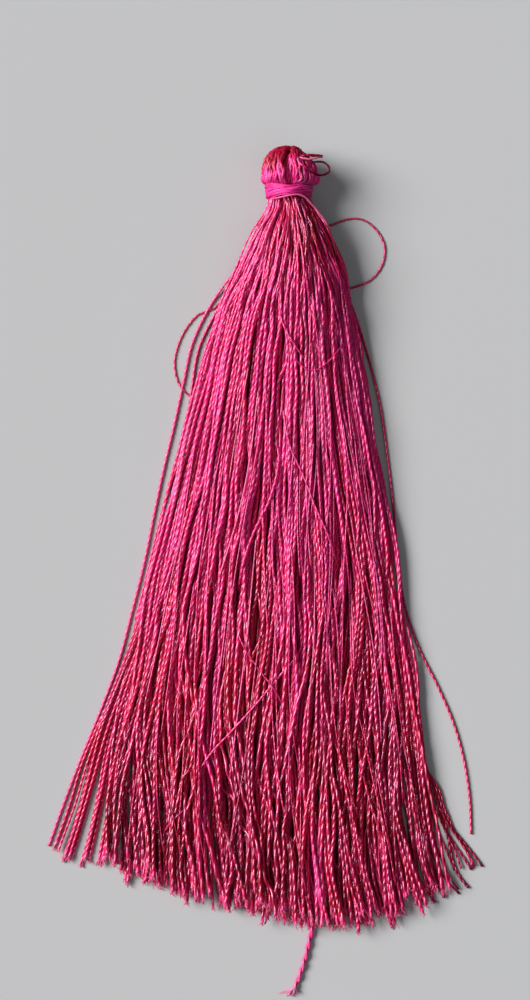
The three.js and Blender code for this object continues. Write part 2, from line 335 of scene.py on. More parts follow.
silkLook = {
    "dark": (0.07, 0.001, 0.006), "deep": (0.6, 0.001, 0.03), "bright": (0.83, 0.016, 0.225),
    "pale": (0.98, 0.3, 0.44), "worn": (0.84, 0.022, 0.26), "driftShare": 0.3, "driftRange": (0.35, 0.65),
    # painted shade colour for the groove between the plies
    "groove": (0.4, 0.0, 0.016), "grooveShade": 0.65, "Groove Width": 0.42,
    "Fibre Count": 16.0, "Fibre Length": 0.8, "fibreShade": 0.35, "fibreRange": (0.3, 0.7),
    "rough": 0.3, "roughSpread": 0.14, "roughWhenPale": 0.05, "bump": 0.3, "bumpDepth": 0.00004,
    "glow": 0.5, "glowReach": (0.6, 0.02, 0.08), "glowScale": 0.001,
    "gloss": 0.95, "refraction": 1.8, "glossTint": (1.0, 0.55, 0.8),
}
flossLook = dict(silkLook, deep=(0.55, 0.002, 0.13), bright=(0.96, 0.042, 0.38), groove=(0.5, 0.004, 0.12),
                 grooveShade=0.3, rough=0.45, glow=0.0, gloss=0.6, refraction=1.7)
# painted shade: the loop's colours are darker, as it lies in shade
loopShadedLook = dict(silkLook, deep=(0.25, 0.001, 0.012), bright=(0.6, 0.006, 0.1), driftShare=0.05, glow=0.0,
                gloss=0.35)
headLook = dict(silkLook, bright=(0.9, 0.02, 0.3), rough=0.4, gloss=0.75, refraction=1.7, bump=0.35)
frayLook = dict(silkLook, pale=(0.92, 0.15, 0.28), rough=0.6, glow=0.0, gloss=0.15)
silk = makeThreadMaterial("tasselSilk", silkLook)
headSilk = makeThreadMaterial("headSilk", headLook)
frayedSilk = makeThreadMaterial("frayedSilk", frayLook)
floss = makeThreadMaterial("bindingFloss", flossLook)
loopShadedSilk = makeThreadMaterial("loopShadedSilk", loopShadedLook)
print("materials made")


# the skirt: its outline on the table and its thickness, row by row
skirtShape = {
    "below": [-1.0, 0, 2, 4.4, 9, 14, 23, 37, 51, 60, 70, 78, 88],
    "left": [-2.6, -2.6, -2.95, -4.3, -6.5, -8.6, -11.0, -14.5, -18.0, -20.0, -20.9, -21.2, -21.4],
    "right": [1.8, 1.8, 2.7, 4.2, 6.0, 7.2, 8.8, 11.5, 13.8, 14.7, 15.9, 17.2, 19.4],
    "high": [4.3, 4.3, 4.7, 5.4, 5.65, 5.3, 4.6, 3.8, 3.1, 2.8, 2.5, 2.3, 2.1],
    "low": [0.95, 0.95, 0.6, 0.1, 0, 0, 0, 0, 0, 0, 0, 0, 0],
}
# where the hem lies, as x and below
hemLine = {"x": [-21.5, -19, -10.7, -3.7, 2, 6.8, 10.3, 14, 17, 20],
           "below": [78.8, 79.8, 82.6, 83.9, 85.2, 85.4, 84.8, 84.0, 82.6, 80.8]}
# pairs of numbers in these settings are stretches below the binding, if nothing else is said
skirt = {
    "threads": 360, "stations": 72, "neckFiner": 1.5, "first": -0.9, "last": 87.0, "length": 84.6,
    "ragged": 2.2, "longer": 0.5,
    "radius": 0.225, "topRadius": 0.165, "neckRadius": 0.11, "thickens": (0, 22), "girthSpread": 0.18,
    "ripple": 0.05, "rippleFrom": (4, 20), "rippleHigh": 0.6,
    "ripplePace": (0.45, 0.9), "ripplePaceHigh": (0.4, 0.8),  # slowest and fastest
    "fine": 0.26, "coarse": 1.2, "firstRing": (0.3, 1.3), "lastRingGap": 0.3,  # rings along a thread
    "shown": {"section": "twoPly", "threads": 270, "pieces": 6},
    "buried": {"section": "hair", "threads": 90, "pieces": 1},
}
# how the threads of the skirt lie beside and on one another; waves are numbers of waves with their sizes
pile = {
    "pitch": 3.0, "rowWide": 2.2, "layerHigh": 1.5, "pressed": (0.5, 1.3),  # pressed: layers from the top
    "fans": (2, 45), "flattens": (1, 14), "flatter": 0.75,
    "sparseEdge": 0.3, "sparseFrom": (40, 84), "underNarrower": 0.06, "narrowFrom": (30, 80),
    "jitter": 0.7, "wander": 0.55, "wanderWaves": ((0.9, 0.7), (2.3, 0.5), (4.1, 0.3)),
    "neckBegins": (0, 3), "neckEnds": (10, 26), "neckWander": 0.3, "neckWanderWaves": ((6, 0.6), (11, 0.4)),
    "crossFrom": 46.0, "crossReach": 1.7, "crossFar": 0.28, "crossFarther": 2, "crossLift": 0.12,
    "domeDrop": 0.72, "domePower": 2.4, "neckDomeDrop": 0.9, "leastNeckDome": 0.05, "leastDome": 0.12,
    "leastRoom": 0.05, "leastTight": 0.25, "buriedPower": 3, "upper": 0.5,
    "neckRise": 0.2, "neckRiseWaves": ((9, 0.6), (16, 0.6)), "neckUneven": 0.25, "unevenEnds": (5, 16),
    "lift": 0.12, "rise": 0.14, "riseWaves": ((1.3, 1.0), (2.9, 0.7)),
}
# locks of a few threads that run together, side by side and on top of one another
locks = {
    "across": 24, "deep": 4, "uneven": 0.12, "draw": 0.22,
    "sway": 0.55, "swayWaves": ((0.8, 0.6), (1.9, 0.5), (3.4, 0.3)),
    "lift": 0.16, "liftWaves": ((0.0, 0.6), (1.4, 0.6), (2.6, 0.4)),
}
goldenShare = 0.6180339887


def skirtRow(below):
    # edges, top and underside of the skirt at these distances below the binding
    keys = ("left", "right", "high", "low")
    return {key: curveThrough(skirtShape["below"], skirtShape[key], below) for key in keys}


def slowWaves(below, count, waves):
    # a smooth course for each of count threads or locks, from -1 to 1 along the skirt
    course = np.zeros((len(below), count))
    for number, size in waves:
        start = rng.uniform(0, 2 * math.pi, count)
        course += size * np.sin(start + 2 * math.pi * number * below[:, None] / skirt["length"])
    return course


def layOutSkirt():
    # each thread keeps its place across the fan; the first lie on top, and more come up as the fan widens
    count = skirt["threads"]
    order = np.arange(count)
    across = 2 * ((0.5 + goldenShare * order) % 1) - 1
    down = np.linspace(0, 1, skirt["stations"]) ** skirt["neckFiner"]
    below = skirt["first"] + (skirt["last"] - skirt["first"]) * down
    row = skirtRow(below)
    radius = skirt["neckRadius"] + (skirt["radius"] - skirt["neckRadius"]) * ease(below, *skirt["thickens"])
    middle, half = (row["left"] + row["right"]) / 2, (row["right"] - row["left"]) / 2
    fan = ease(below, *pile["fans"])[:, None]
    roundness = 1 - pile["flatter"] * ease(below, *pile["flattens"])[:, None]
    layer = order[None, :] * (pile["pitch"] * radius / (pile["rowWide"] * half))[:, None]
    depth = order / (count - 1)
    # threads that show at the neck keep their thickness there, the ones inside are pressed thin
    top = 1 - ease(layer, *pile["pressed"])
    girth = radius[:, None] + np.maximum(skirt["topRadius"] - radius, 0)[:, None] * top
    # the locks draw their threads together and sway as one
    place = (across + 1) / 2 * locks["across"] + rng.normal(0, locks["uneven"], count)
    lockColumn = np.clip(np.floor(place), 0, locks["across"] - 1).astype(int)
    lock = lockColumn * locks["deep"] + order * locks["deep"] // count
    drawn = across - locks["draw"] * fan * (place - lockColumn - 0.5) * 2 / locks["across"]
    share = drawn * np.sqrt(1 - roundness * (2 * depth - 1) ** 2 / 2)
    sparse = 1 + pile["sparseEdge"] * ease(below, *pile["sparseFrom"])[:, None]
    share = np.sign(share) * np.abs(share) ** sparse
    share = share * (1 - pile["underNarrower"] * depth * ease(below, *pile["narrowFrom"])[:, None])
    lockCount = locks["across"] * locks["deep"]
    sway = slowWaves(below, lockCount, locks["swayWaves"])
    share = share + locks["sway"] * fan * sway[:, lock] * 2 / locks["across"]
    x = middle[:, None] + half[:, None] * share
    x += pile["jitter"] * rng.normal(0, 1, count) * radius[:, None]
    atNeck = (ease(below, *pile["neckBegins"]) - ease(below, *pile["neckEnds"]))[:, None]
    x += pile["neckWander"] * atNeck * slowWaves(below, count, pile["neckWanderWaves"])
    x += pile["wander"] * fan * slowWaves(below, count, pile["wanderWaves"])
    # near the hem some threads stray across their neighbours
    crossing = rng.normal(0, 1, count)
    crossing = crossing * np.where(rng.uniform(0, 1, count) < pile["crossFar"], pile["crossFarther"], 1)
    crossing = crossing * ease(below, pile["crossFrom"], skirt["last"])[:, None]
    x += pile["crossReach"] * crossing
    # the pile is round at the neck and a low dome below, thinner towards its edges
    dome = (1 - pile["domeDrop"] * np.abs(share) ** pile["domePower"]) * (1 - roundness)
    neckDome = np.sqrt(np.clip(1 - pile["neckDomeDrop"] * share ** 2, pile["leastNeckDome"], 1))
    dome = np.clip(dome + neckDome * roundness, pile["leastDome"], 1)
    thick = (row["high"] - row["low"])[:, None]
    base = row["low"][:, None] + thick * (1 - dome) / 2 * roundness + radius[:, None]
    room = np.maximum(thick * dome - 2 * radius[:, None], pile["leastRoom"])
    tight = np.clip(pile["layerHigh"] * radius[:, None] * layer[:, -1:] / room, pile["leastTight"], 1)
    z = base + room * (1 - tight * depth - (1 - tight) * depth ** pile["buriedPower"])
    upper = depth < pile["upper"]
    z += upper * pile["neckRise"] * atNeck * slowWaves(below, count, pile["neckRiseWaves"])
    unevenPart = (1 - ease(below, *pile["unevenEnds"]))[:, None]
    z += upper * pile["neckUneven"] * rng.normal(0, 1, count) * unevenPart
    z += upper * (pile["lift"] * rng.normal(0, 1, count) + pile["crossLift"] * np.abs(crossing))
    z += upper * fan * locks["lift"] * slowWaves(below, lockCount, locks["liftWaves"])[:, lock]
    z += pile["rise"] * fan * slowWaves(below, count, pile["riseWaves"])
    return below, row, girth, layer, x, z


settling = {
    "rounds": 12, "contact": 1.35, "neckContact": 1.6, "contactFrom": (2, 20), "leastGap": 1e-6,
    "push": 0.2, "sag": 0.008, "sagFrom": 6, "smooth": 0.3,
    "edgeRoom": 0.25, "edgeMore": 0.35, "edgeFrom": (10, 40),
}


def settle(below, row, radius, x, z):
    # pushes threads that lie in each other apart, station by station, and keeps their bends smooth
    startX, startZ = x.copy(), z.copy()
    looser = settling["contact"] - settling["neckContact"]
    contact = settling["neckContact"] + looser * ease(below, *settling["contactFrom"])
    loose = settling["edgeRoom"] + settling["edgeMore"] * ease(below, *settling["edgeFrom"])[:, None]
    for _ in range(settling["rounds"]):
        for k in range(len(below)):
            dx, dz = x[k][:, None] - x[k][None, :], z[k][:, None] - z[k][None, :]
            gap = np.hypot(dx, dz) + settling["leastGap"]
            reach = contact[k] * (radius[k][:, None] + radius[k][None, :]) / 2
            push = np.clip(reach - gap, 0, None) / gap
            np.fill_diagonal(push, 0)
            sag = settling["sag"] * (below[k] > settling["sagFrom"])
            x[k] += settling["push"] * (push * dx).sum(1)
            z[k] += settling["push"] * (push * dz).sum(1) - sag
        for moved, start in ((x, startX), (z, startZ)):
            shift = moved - start
            shift[1:-1] += settling["smooth"] * (shift[:-2] + shift[2:] - 2 * shift[1:-1])
            moved[:] = start + shift
        z[:] = np.maximum(z, row["low"][:, None] + radius)
        x[:] = np.clip(x, row["left"][:, None] - loose, row["right"][:, None] + loose)


# the dark partings between locks: x and below of the middle, half length, half width, lean to the right
partings = [
    (-1.2, 21.3, 3.5, 0.35, 0.0), (-1.5, 27.8, 3.7, 0.5, -0.03), (-4.9, 21.3, 5.2, 0.26, -0.2),
    (-6.6, 30.1, 2.9, 0.22, -0.2), (-4.5, 28.9, 1.8, 0.18, 0.0), (-5.4, 32.4, 2.3, 0.23, 0.0),
    (-2.3, 34.2, 2.9, 0.21, -0.05), (1.4, 26.0, 1.8, 0.16, 0.05), (3.7, 31.8, 2.3, 0.18, 0.05),
    (4.8, 28.9, 2.3, 0.16, 0.1), (-9.9, 37.7, 2.1, 0.18, -0.05), (-7.8, 40.7, 1.4, 0.19, -0.05),
    (-6.3, 44.1, 3.3, 0.26, 0.0), (-4.3, 39.4, 2.3, 0.23, -0.05), (-2.8, 37.8, 1.6, 0.21, -0.15),
    (-1.7, 42.6, 3.1, 0.26, -0.02), (0.8, 44.4, 3.0, 0.21, 0.0), (-4.2, 49.9, 5.4, 0.35, 0.0),
    (2.3, 38.1, 1.5, 0.16, 0.05), (0.5, 50.1, 1.9, 0.15, 0.0), (-15.3, 49.1, 1.6, 0.19, -0.1),
    (-11.9, 48.5, 1.4, 0.15, -0.2), (-9.3, 46.6, 1.6, 0.15, -0.1), (5.7, 42.1, 1.4, 0.19, 0.05),
    (7.3, 44.7, 1.6, 0.19, 0.05), (8.9, 34.4, 1.6, 0.18, 0.1), (11.8, 42.7, 2.8, 0.21, 0.08),
    (11.2, 48.4, 1.9, 0.16, 0.1), (4.5, 46.6, 1.4, 0.18, 0.05), (4.7, 52.4, 1.9, 0.17, 0.1),
    (6.6, 54.2, 1.5, 0.17, 0.1), (4.5, 58.1, 2.3, 0.24, 0.0), (11.5, 56.7, 1.9, 0.16, 0.1),
    (10.7, 60.0, 2.6, 0.26, 0.1), (5.0, 67.2, 2.1, 0.24, 0.06), (11.3, 68.0, 2.9, 0.26, 0.1),
    (-1.0, 70.5, 2.8, 0.24, 0.0), (-0.2, 74.6, 1.6, 0.28, 0.0), (9.3, 78.5, 2.6, 0.3, 0.05),
    (5.4, 78.8, 2.1, 0.23, 0.05), (-4.0, 74.4, 1.4, 0.19, 0.0), (-2.4, 79.8, 1.6, 0.24, 0.0),
    (9.0, 75.3, 1.6, 0.21, 0.1), (12.6, 70.3, 3.0, 0.22, 0.1), (13.1, 75.3, 2.1, 0.24, 0.15),
    (14.5, 75.3, 2.1, 0.22, 0.2), (-13.6, 58.4, 2.1, 0.19, -0.1), (-12.4, 67.2, 3.3, 0.26, 0.0),
    (-17.8, 76.5, 3.3, 0.35, 0.0), (-7.9, 64.8, 1.6, 0.3, 0.0), (-7.6, 71.5, 3.3, 0.45, 0.02),
    (-7.9, 78.8, 1.9, 0.35, 0.0), (-12.7, 78.6, 2.1, 0.22, 0.0), (-5.7, 61.1, 1.6, 0.3, 0.0),
    (-5.6, 75.3, 2.9, 0.24, 0.02),
]
parting = {
    "longer": 1.7, "wider": 1.3, "soft": 0.15, "reach": 1.0, "sink": 0.5, "sinkReach": 0.25,
    "depth": (1.2, 2.2),  # layers from the top over which it closes
}


def openPartings(path, layer):
    # draws the upper threads aside along each parting
    upper = 1 - ease(layer, *parting["depth"])
    for x, below, halfLength, halfWidth, lean in partings:
        along = -path[:, 1] - below
        away = path[:, 0] - x - lean * along
        shape = np.clip(1 - (along / (parting["longer"] * halfLength)) ** 2, 0, None) ** 2 * upper
        aside = np.tanh(away / parting["soft"]) * np.exp(-(away / parting["reach"]) ** 2)
        path[:, 0] += parting["wider"] * halfWidth * shape * aside
        path[:, 2] -= parting["sink"] * shape * np.exp(-(away / parting["sinkReach"]) ** 2)


def hemAt(x):
    even = np.interp(x, hemLine["x"], hemLine["below"])
    return even + skirt["longer"] * rng.normal() - skirt["ragged"] * rng.uniform() ** 2


cover = {"higher": 0.12, "near": 0.8}  # near is a share of the upper thread's radius


def shownStretches(x, z, radius):
    # where each thread shows from above: no other thread covers its middle there, or just beside
    shown = np.zeros(x.shape, bool)
    for k in range(len(x)):
        above = z[k][None, :] > z[k][:, None] + cover["higher"]
        near = np.abs(x[k][None, :] - x[k][:, None]) < cover["near"] * radius[k][None, :]
        shown[k] = (above & near).sum(1) == 0
    shown[1:-1] |= shown[:-2] | shown[2:]
    return shown


# locks made paler or deeper: x and below of the middle, half length, half width, change of tint
lockShades = [
    (-9.9, 68, 13, 1.0, 1.4), (-14.6, 62, 7, 0.9, 0.6), (0.8, 61, 14, 1.0, 1.0), (3.0, 80, 7, 1.1, 1.6),
    (2.5, 24, 12, 1.8, 0.4), (-1.2, 6, 5, 1.4, 0.5), (-12.8, 31, 8, 0.9, 0.5), (8.8, 45, 12, 2.2, -0.6),
    (11.5, 66, 9, 1.4, -0.5), (-3.6, 46, 7, 1.1, -0.9), (-6.2, 69, 6, 0.9, -0.4), (-18.2, 76, 8, 1.6, -0.5),
    (-7.0, 79, 5, 1.0, -0.4), (-6.6, 24, 12, 1.3, -0.5), (-3.6, 72, 5, 0.8, 0.5), (7.8, 72, 7, 0.8, 0.6),
]
fanPoint = (-1.5, -45.0)  # the locks fan out from about here, as x and below
dyeAndPaintedShading = {
    "tint": 0.84, "spread": 0.25, "darkest": -0.5, "palest": 1.3, "paleEnd": 1.7, "endLength": 1.2,
    # painted shade: threads are made deeper towards the hem and in the middle of the neck under the binding
    "hemPaintedShade": 1.65, "hemFrom": (30, 85), "neckPaintedShade": 1.15, "neckSpread": 0.5, "neckEnds": (2, 13),
    # painted light: threads are made paler on the left at the neck
    "leftPaintedLight": 0.3, "leftSide": (-0.7, -0.25),  # sides run from -1 at the left edge to 1 at the right
    "cornerDeeper": 0.5, "cornerSide": (0.45, 0.9), "cornerFrom": (55, 78),
}


def lockShade(path):
    change = np.zeros(len(path))
    for x, below, halfLength, halfWidth, amount in lockShades:
        along = -path[:, 1] - below
        away = path[:, 0] - x - along * (x - fanPoint[0]) / (below - fanPoint[1])
        change += amount * np.exp(-(along / halfLength) ** 2 - (away / halfWidth) ** 2)
    return change


def threadTint(at, end, side=0.0, change=0.0, endTint=dyeAndPaintedShading["paleEnd"]):
    # each thread is dyed a little differently; painted shade makes it deeper in the middle of the neck under
    # the binding and towards the hem, painted light makes it paler on the left at the neck, it is darker at
    # the right corner of the hem, and its cut end stands out
    tint = np.clip(rng.normal(dyeAndPaintedShading["tint"], dyeAndPaintedShading["spread"]), 0, 1)
    nearNeck = 1 - ease(at, *dyeAndPaintedShading["neckEnds"])
    onLeft = 1 - ease(side, *dyeAndPaintedShading["leftSide"])
    # painted shade: deeper in the middle of the neck, where it lies in shade under the binding
    tint = tint - rng.normal(dyeAndPaintedShading["neckPaintedShade"], dyeAndPaintedShading["neckSpread"]) * nearNeck * (1 - onLeft)
    # painted light makes the left of the neck paler, and painted shade makes the threads deeper towards the
    # hem
    tint = tint + dyeAndPaintedShading["leftPaintedLight"] * nearNeck * onLeft - dyeAndPaintedShading["hemPaintedShade"] * ease(at, *dyeAndPaintedShading["hemFrom"])
    tint = tint - dyeAndPaintedShading["cornerDeeper"] * ease(side, *dyeAndPaintedShading["cornerSide"]) * ease(at, *dyeAndPaintedShading["cornerFrom"])
    tint = np.clip(np.maximum(tint, dyeAndPaintedShading["darkest"]) + change, dyeAndPaintedShading["darkest"], dyeAndPaintedShading["palest"])
    return tint + endTint * ease(at, end - dyeAndPaintedShading["endLength"], end)


# how the plies of a skirt thread turn: each thread looser towards the hem, all of them looser at the neck
twist = {
    "turn": 1.75, "spread": 0.45, "uneven": 0.2, "pace": (0.5, 1.1), "neckLooser": 0.5, "neckEnds": (7, 16),
    "upper": 0.3, "upperFrom": (6, 22), "lower": 0.7, "lowerFrom": (40, 75),
}


def twistLength(at):
    slow = randomWave(at, *twist["pace"])
    looser = math.exp(twist["spread"] * abs(rng.normal())) * (1 + twist["uneven"] * slow)
    opened = twist["upper"] * ease(at, *twist["upperFrom"]) + twist["lower"] * ease(at, *twist["lowerFrom"])
    turn = twist["turn"] * (1 + (looser - 1) * opened)
    return turn * (1 + twist["neckLooser"] * (1 - ease(at, *twist["neckEnds"])))


def cutEnd(path):
    return {"tip": path[-1], "run": path[-1] - path[-4]}


def makeSkirt():
    below, row, radius, layer, x, z = layOutSkirt()
    settle(below, row, radius, x, z)
    print("skirt settled")
    shown = shownStretches(x, z, radius)
    sides = (2 * x - (row["left"] + row["right"])[:, None]) / (row["right"] - row["left"])[:, None]
    ranked = np.argsort(-shown.sum(0), kind="stable")
    ends, done = [], 0
    for kind in ("shown", "buried"):
        style = skirt[kind]
        strands = []
        for index in ranked[done:done + style["threads"]]:
            end = hemAt(np.interp(skirt["length"], below, x[:, index]))
            spacing = np.where(shown[:, index], skirt["fine"], skirt["coarse"])
            rings = np.cumsum(np.gradient(below) / spacing)
            lastRing = np.interp(end, below, rings)
            spots = np.arange(rings[0] + rng.uniform(*skirt["firstRing"]), lastRing - skirt["lastRingGap"])
            at = np.interp(np.concatenate([rings[:1], spots, [lastRing]]), rings, below)
            path = np.stack([curveThrough(below, x[:, index], at), -at,
                             curveThrough(below, z[:, index], at)], axis=1)
            ripple = skirt["ripple"] * ease(at, *skirt["rippleFrom"])
            path[:, 0] += ripple * randomWave(at, *skirt["ripplePace"])
            path[:, 2] += skirt["rippleHigh"] * ripple * randomWave(at, *skirt["ripplePaceHigh"])
            openPartings(path, np.interp(at, below, layer[:, index]))
            girth = np.interp(at, below, radius[:, index]) * (1 + skirt["girthSpread"] * rng.uniform(-1, 1))
            path[:, 2] = np.maximum(path[:, 2], girth)
            turn = twistLength(at)
            tint = threadTint(at, end, np.interp(at, below, sides[:, index]), lockShade(path))
            strands.append(sweep(path, girth, style["section"], turn, rng.uniform(0, anyPhase), tint=tint))
            ends.append(cutEnd(path))
        done += style["threads"]
        share = math.ceil(len(strands) / style["pieces"])
        for number in range(style["pieces"]):
            part = strands[number * share:(number + 1) * share]
            piece = buildPiece(f"skirt_{kind}_{number + 1}", part, silk)
            if kind == "shown" and number == 0:
                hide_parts("thread_bundle")
    return ends, below, x, z


skirtEnds, skirtBelow, skirtX, skirtZ = makeSkirt()
topReach = 0.5  # threads this near count for the height of the pile


def topAt(x, below):
    # height of the pile's upper side
    k = int(np.argmin(np.abs(skirtBelow - below)))
    near = np.abs(skirtX[k] - x) < topReach
    return skirtZ[k][near].max() if near.any() else 0.0


# the corners of the hem, where locks of a few threads part and lie on the table: number of threads, how far
# they fan out, their radius, then x and below along the lock
cornerLocks = {
    "left": [
        (2, 0.35, 0.2, [(-15.2, 42), (-18.7, 53), (-23.2, 63.9), (-24.3, 66.6), (-26.0, 71.9),
                        (-27.8, 77.0)]),
        (5, -0.06, 0.21, [(-15.0, 42), (-18.3, 53), (-22.4, 63.9), (-23.6, 68.4), (-25.1, 73.8),
                          (-26.6, 78.4)]),
        (3, -0.04, 0.21, [(-14.6, 42), (-17.8, 53), (-21.2, 64), (-22.4, 70.8), (-23.6, 75.9),
                          (-24.4, 78.8)]),
        (3, -0.04, 0.2, [(-14.2, 42), (-17.3, 53), (-20.0, 64), (-21.2, 71.4), (-22.0, 75.9),
                         (-22.6, 78.9)]),
        (1, 0.0, 0.19, [(-17.4, 52), (-20.6, 64), (-21.6, 72.5), (-20.7, 79.2)]),
    ],
    "right": [
        (1, 0.0, 0.15, [(12.6, 56), (15.6, 67.3), (17.1, 69.8), (18.7, 73.6), (20.85, 76.6), (22.6, 79.2)]),
        (1, 0.0, 0.14, [(12.5, 56), (15.4, 67.5), (17.3, 71.0), (19.2, 75.0), (21.2, 77.9), (22.0, 80.2)]),
        (2, 0.5, 0.15, [(12.9, 57), (16.2, 69.0), (18.0, 73.5), (20.2, 77.6), (21.4, 79.6)]),
        (1, 0.0, 0.17, [(12.3, 55), (15.2, 66), (16.9, 69.6), (17.8, 72.9), (18.7, 76.3), (20.3, 79.9),
                        (21.6, 81.5)]),
        (2, 0.4, 0.15, [(12.4, 58), (15.4, 69.0), (17.4, 74.5), (19.0, 78.0), (19.8, 80.2)]),
        (2, 0.3, 0.15, [(12.0, 57), (14.8, 67), (16.2, 74.8), (17.4, 78.1), (18.7, 80.6), (20.3, 82.4)]),
        (1, 0.0, 0.15, [(12.2, 58), (14.4, 67), (15.8, 74.3), (17.4, 79.5), (18.6, 82.5)]),
        (2, 0.4, 0.15, [(12.0, 58), (14.2, 68), (16.0, 77.9), (17.1, 80.4), (18.2, 83.4)]),
        (2, 0.5, 0.16, [(11.4, 60), (13.1, 74.1), (14.7, 79.5), (15.6, 81.6), (16.9, 83.4)]),
        (1, 0.0, 0.15, [(11.6, 60), (14.6, 72), (16.1, 78), (15.7, 84)]),
    ],
}
# pairs of numbers are shares of a lock's length here, but the least and the most for pace and girth
hemCorner = {
    "turn": 1.75, "spacing": 0.26, "pitch": 1.55, "ragged": 1.4, "fanFrom": (0.55, 1), "pace": (6, 14),
    "startHigh": 0.5, "comesDown": (0.1, 0.85), "stacked": 1.3, "girth": (0.9, 1.1), "palerFrom": (0.4, 0.8),
    "left": {"spread": 0.1, "wavy": 0.12, "endTint": dyeAndPaintedShading["paleEnd"], "paler": 0.7, "frayed": True},
    "right": {"spread": 0.35, "wavy": 0.25, "endTint": -0.6, "paler": 0.0, "frayed": False},
}


def makeCorners():
    strands = []
    for side, sideLocks in cornerLocks.items():
        style = hemCorner[side]
        for threads, fan, radius, points in sideLocks:
            for number in range(threads):
                path = smoothRoute([(x, -below, radius) for x, below in points], hemCorner["spacing"])
                path = path[:len(path) - int(hemCorner["ragged"] * rng.uniform() / hemCorner["spacing"])]
                along = np.linspace(0, 1, len(path))
                place = number - (threads - 1) / 2
                aside = fan * place + style["spread"] * rng.normal()
                path[:, 0] += hemCorner["pitch"] * radius * place + aside * ease(along, *hemCorner["fanFrom"])
                path[:, 0] += style["wavy"] * randomWave(along, *hemCorner["pace"]) * along
                high = hemCorner["startHigh"] * (1 - ease(along, *hemCorner["comesDown"]))
                path[:, 2] += high + hemCorner["stacked"] * radius * (number % 2)
                tint = threadTint(-path[:, 1], -path[-1, 1], endTint=style["endTint"])
                tint = tint + style["paler"] * ease(along, *hemCorner["palerFrom"])
                girth = radius * rng.uniform(*hemCorner["girth"])
                phase = rng.uniform(0, anyPhase)
                strands.append(sweep(path, girth, "twoPly", hemCorner["turn"], phase, tint=tint))
                if style["frayed"]:
                    skirtEnds.append(cutEnd(path))
    buildPiece("hem_corners", strands, silk)


makeCorners()

# the head: threads folded over the top of the hank, drawn in at a furrow a little left of the middle
headShape = {
    "y": [-0.5, 0.6, 0.8, 1.1, 2.0, 2.9, 3.9, 4.4, 4.8, 5.05],
    "left": [-2.4, -2.5, -2.8, -3.25, -3.3, -3.2, -2.85, -2.45, -1.8, -1.0],
    "furrow": [-0.1, -0.1, -0.1, -0.15, -0.4, -0.65, -0.6, -0.4, -0.2, -0.1],
    "right": [1.6, 1.7, 2.1, 3.05, 2.95, 2.6, 1.9, 1.3, 0.8, 0.4],
    "halfHigh": [1.6, 1.7, 2.1, 2.6, 2.9, 2.75, 2.05, 1.45, 0.75, 0.0],
}
head = {
    "layers": [{"threads": 29, "size": 1.0}, {"threads": 25, "size": 0.9}, {"threads": 18, "size": 0.76}],
    "middleZ": 3.1, "radius": 0.23, "rightRadius": 0.19, "girth": (0.9, 1.1),
    "turn": 2.5, "turnSpread": (0.8, 1.25), "spacing": 0.2, "wavy": 0.08, "pace": (2.6, 4.6), "uneven": 0.03,
    "reach": 86, "reachUneven": 1.2, "furthest": 1.5,  # round the head: the first two in degrees
    "furrowDip": 0.3, "furrowWide": 0.15, "dipFrom": 0.7,
    "leftLean": 0.06, "rightLean": 0.55, "leanEnds": 1.6,
    # painted light: the right side's tint is raised to lift its shade
    "tint": 0.95, "rightTintPaintedLighter": 1.15, "tintSpread": 0.3, "tintRange": (-0.4, 1.3),
    # painted shade: deeper over the crown and in the hollow beside the furrow
    "crownFrom": 2.0, "crownUneven": 0.25, "crownLength": 1.5, "crownPaintedShade": 2.3,
    "rightCrown": (3.2, 4.3), "rightCrownPaintedShade": 1.4,
    "hollowAcross": (0.5, 1.1), "hollowUp": (1.7, 2.4), "hollowPaintedShade": 0.4,
}


def headRoute(turn, lean, size):
    # one thread up the front, over the crown and down the back; turn is its place round the head
    rows = len(headShape["y"])
    route = []
    for k in list(range(rows)) + list(range(rows - 2, -1, -1)):
        front = 1 if len(route) < rows else -1
        risen = min(len(route) / (rows - 1), 1)
        place = np.clip(turn + lean * (risen - 0.5), -head["furthest"], head["furthest"])
        across = math.sin(place)
        edge = "left" if across < 0 else "right"
        dip = 1 - head["furrowDip"] * math.exp(-(across / head["furrowWide"]) ** 2)
        y = headShape["y"][k]
        furrow = headShape["furrow"][k]
        x = furrow + abs(across) * size * (headShape[edge][k] - furrow)
        high = headShape["halfHigh"][k] * size * dip * math.cos(place)
        if y > head["dipFrom"]:
            y = head["dipFrom"] + (y - head["dipFrom"]) * size * (0.5 + 0.5 * dip)
        route.append((x, y, max(head["middleZ"] + front * high, head["radius"])))
    return route


def headTint(path, left):
    # painted shade: deeper over the crown on the left, and on the right side in the hollow beside the furrow
    # and over its crown; the right side's own tint is painted lighter to lift its shade
    tint = rng.normal(head["tint"] if left else head["rightTintPaintedLighter"], head["tintSpread"])
    x, y = path[:, 0], path[:, 1]
    if left:
        crown = head["crownFrom"] + head["crownUneven"] * rng.normal()
        # painted shade over the crown
        tint = tint - head["crownPaintedShade"] * ease(y, crown, crown + head["crownLength"])
    else:
        # painted shade in the hollow beside the furrow and over the right crown
        tint = tint - head["hollowPaintedShade"] * ease(x, *head["hollowAcross"]) * ease(y, *head["hollowUp"])
        tint = tint - head["rightCrownPaintedShade"] * ease(y, *head["rightCrown"])
    return np.clip(tint, *head["tintRange"])


